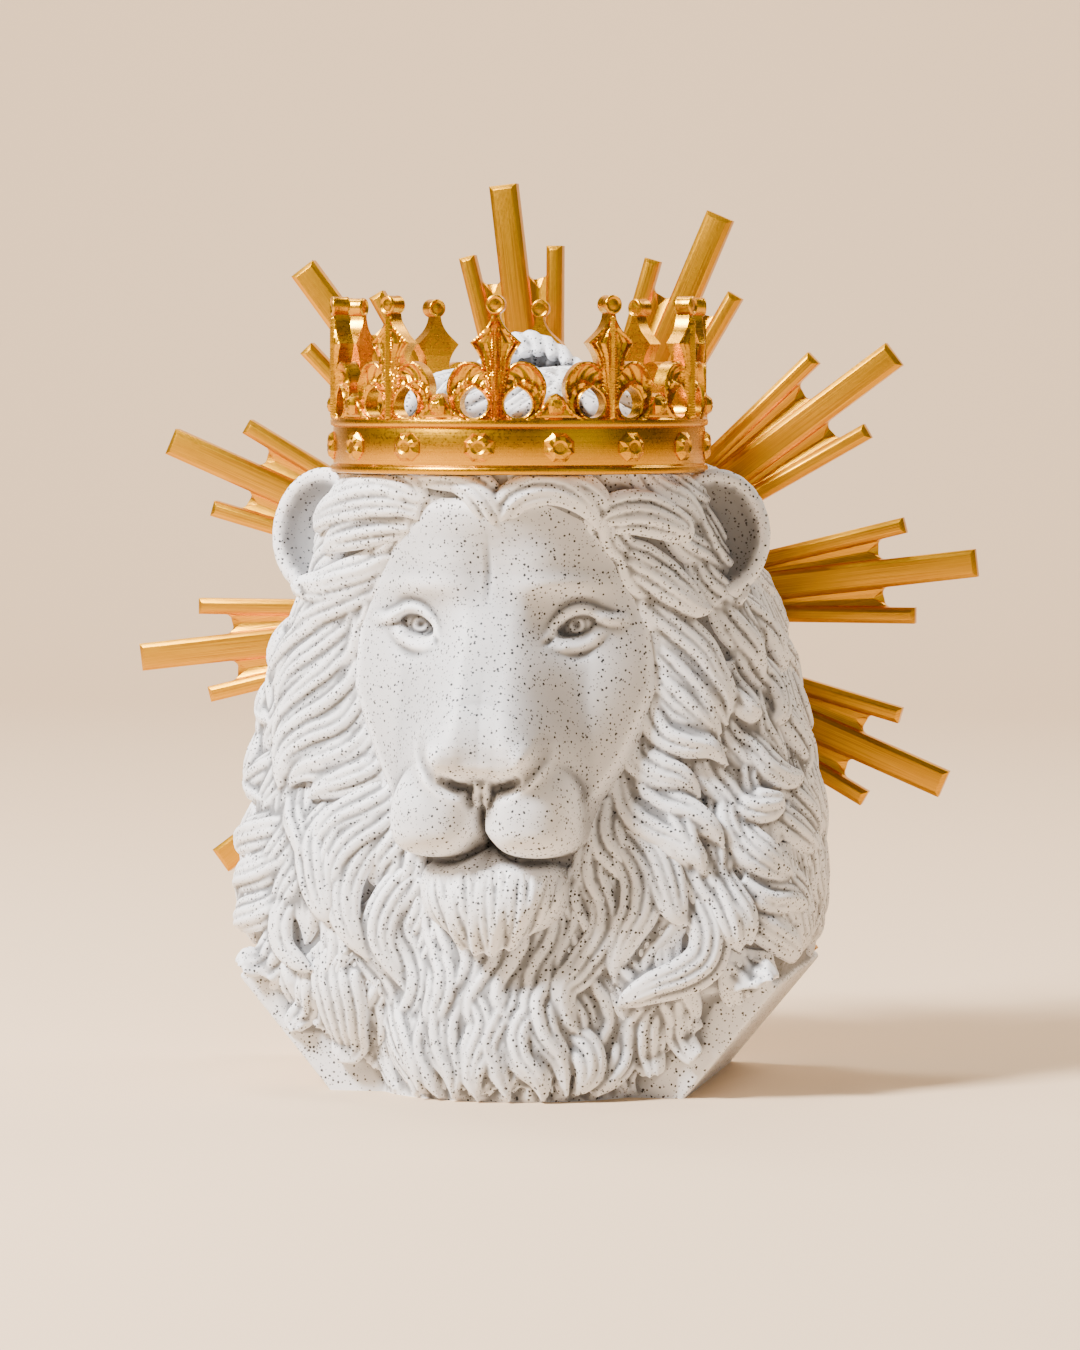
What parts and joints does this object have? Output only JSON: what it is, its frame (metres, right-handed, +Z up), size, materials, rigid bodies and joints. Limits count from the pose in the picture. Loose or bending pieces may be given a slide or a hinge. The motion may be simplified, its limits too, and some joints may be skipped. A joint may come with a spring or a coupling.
{
  "type": "lion head sculpture",
  "caption": "Printed lion's head with a flowing mane, wearing a pointed crown, with a sunburst of rays against its flat back.",
  "frame": {"origin": "middle of the head's flat underside", "axes": "+Z up, -Y the way the face looks, +X to the viewer's right"},
  "size_m": [0.2482, 0.1285, 0.2544],
  "materials": {
    "marble_plastic": "white marble-look print with dark grey specks",
    "gold_crown_plastic": "silky gold print",
    "gold_ray_plastic": "satin gold print"
  },
  "bodies": {
    "root": {"lion_head": "marble_plastic", "crown": "gold_crown_plastic", "sunburst": "gold_ray_plastic"}
  },
  "joints": []
}
